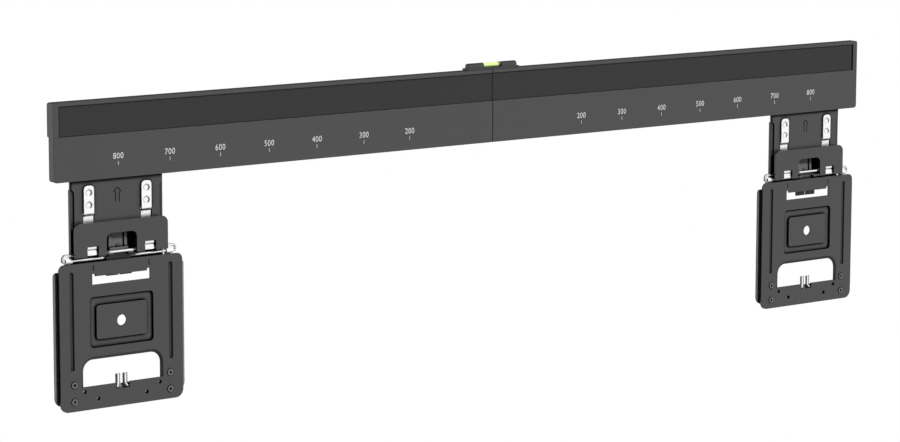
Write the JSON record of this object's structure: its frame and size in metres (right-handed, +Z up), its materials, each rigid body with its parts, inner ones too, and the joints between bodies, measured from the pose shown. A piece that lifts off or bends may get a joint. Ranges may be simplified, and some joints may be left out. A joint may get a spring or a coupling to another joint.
{
  "type": "television wall bracket",
  "caption": "Low-profile wall rail with scale and level, carrying two sliding hangers with wire links and stamped television plates.",
  "frame": {"origin": "on the wall plane, in the middle of the rail's length, on the centre line of the wall screw slots", "axes": "+X along the rail to the right seen from the front, +Y into the wall, +Z up"},
  "size_m": [0.9267, 0.0129, 0.265],
  "materials": {
    "steel": "fine textured powder coat",
    "steel_bare": "zinc plated",
    "strip": "matt printed film",
    "zinc": "bright zinc",
    "wire": "nickel plated wire",
    "spring": "nickel plated spring steel",
    "plastic": "moulded",
    "vial": "clear tinted"
  },
  "bodies": {
    "rail": {"rail_left": "steel", "rail_right": "steel", "scale_strip_left": "strip", "scale_strip_right": "strip", "splice_plate": "steel_bare", "level_holder": "plastic", "level_vial": "vial"},
    "hanger_left": {"hanger_arm_left": "steel", "cover_plate_left": "steel", "latch_left": "steel", "strap_outer_left": "zinc", "strap_inner_left": "zinc"},
    "link_left": {"wire_link_left": "wire"},
    "plate_left": {"hinge_lugs_left": "zinc", "tv_plate_left": "steel", "back_plate_left": "steel", "fork_clip_left": "spring"},
    "hanger_right": {"hanger_arm_right": "steel", "cover_plate_right": "steel", "latch_right": "steel", "strap_outer_right": "zinc", "strap_inner_right": "zinc"},
    "link_right": {"wire_link_right": "wire"},
    "plate_right": {"hinge_lugs_right": "zinc", "tv_plate_right": "steel", "back_plate_right": "steel", "fork_clip_right": "spring"}
  },
  "joints": [
    {"name": "hanger_slide_left", "type": "slide", "parent": "rail", "child": "hanger_left", "axis": [1, 0, 0], "range_m": [-0.015, 0.299]},
    {"name": "link_lift_left", "type": "slide", "parent": "hanger_left", "child": "link_left", "axis": [0, 0, 1], "range_m": [0, 0.003]},
    {"name": "plate_swing_left", "type": "hinge", "parent": "link_left", "child": "plate_left", "pos_m": [-0.3997, -0.0081, -0.122], "axis": [-1, 0, 0], "range_deg": [-2.5, 12]},
    {"name": "hanger_slide_right", "type": "slide", "parent": "rail", "child": "hanger_right", "axis": [1, 0, 0], "range_m": [-0.296, 0.018]},
    {"name": "link_lift_right", "type": "slide", "parent": "hanger_right", "child": "link_right", "axis": [0, 0, 1], "range_m": [-0.003, 0]},
    {"name": "plate_swing_right", "type": "hinge", "parent": "link_right", "child": "plate_right", "pos_m": [0.3966, -0.0081, -0.119], "axis": [-1, 0, 0], "range_deg": [-2.5, 12]}
  ]
}
